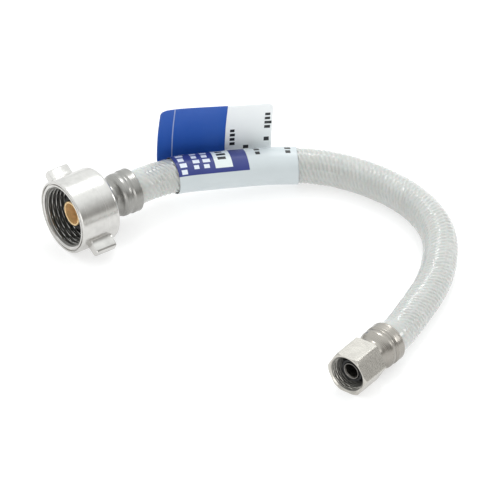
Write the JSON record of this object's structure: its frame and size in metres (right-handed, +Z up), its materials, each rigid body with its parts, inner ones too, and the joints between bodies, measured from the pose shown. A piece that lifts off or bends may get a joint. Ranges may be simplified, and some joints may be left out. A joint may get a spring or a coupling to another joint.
{
  "type": "braided supply line",
  "caption": "Short flexible water supply line: a winged ballcock nut and a hex compression nut swivel on the crimped ends of a white braided hose.",
  "frame": {"origin": "on the surface it lies on, under the middle of the two fittings' common box (hose and label left out)", "axes": "+X along the ballcock nut's axis from its mouth into the hose, +Y from the compression nut's side to the ballcock nut's side, +Z up from the surface the line lies on"},
  "size_m": [0.1263, 0.1609, 0.0385],
  "materials": {
    "nickel": "satin nickel plate, fine turning marks",
    "collar_steel": "satin, crimped",
    "brass": "machined",
    "rubber": "matte",
    "nylon": "smooth",
    "jacket": "glossy vinyl over braid",
    "braid": "woven polyester",
    "inner_tube": "smooth",
    "label": "satin vinyl, plain blue and white print"
  },
  "bodies": {
    "root": {"ballcock_tail": "brass", "cone_washer": "rubber", "ballcock_collar": "collar_steel", "compression_stem": "nickel", "compression_gasket": "rubber", "compression_collar": "collar_steel", "hose_jacket": "jacket", "hose_braid": "braid", "hose_inner_tube": "inner_tube", "label": "label"},
    "ballcock_ring": {"ballcock_slip_ring": "nylon"},
    "ballcock_swivel": {"ballcock_nut": "nickel"},
    "compression_ring": {"compression_slip_ring": "nylon"},
    "compression_swivel": {"compression_nut": "nickel"}
  },
  "joints": [
    {"name": "ballcock_nut_slide", "type": "slide", "parent": "root", "child": "ballcock_ring", "axis": [1, 0, 0], "range_m": [0, 0.0027]},
    {"name": "ballcock_nut_turn", "type": "hinge", "parent": "ballcock_ring", "child": "ballcock_swivel", "pos_m": [-0.031, 0.0641, 0.0144], "axis": [1, 0, 0], "continuous": true},
    {"name": "compression_nut_slide", "type": "slide", "parent": "root", "child": "compression_ring", "axis": [0.9455, 0.3256, 0], "range_m": [0, 0.0012]},
    {"name": "compression_nut_turn", "type": "hinge", "parent": "compression_ring", "child": "compression_swivel", "pos_m": [0.004, -0.0714, 0.00815], "axis": [0.9455, 0.3256, 0], "continuous": true}
  ]
}
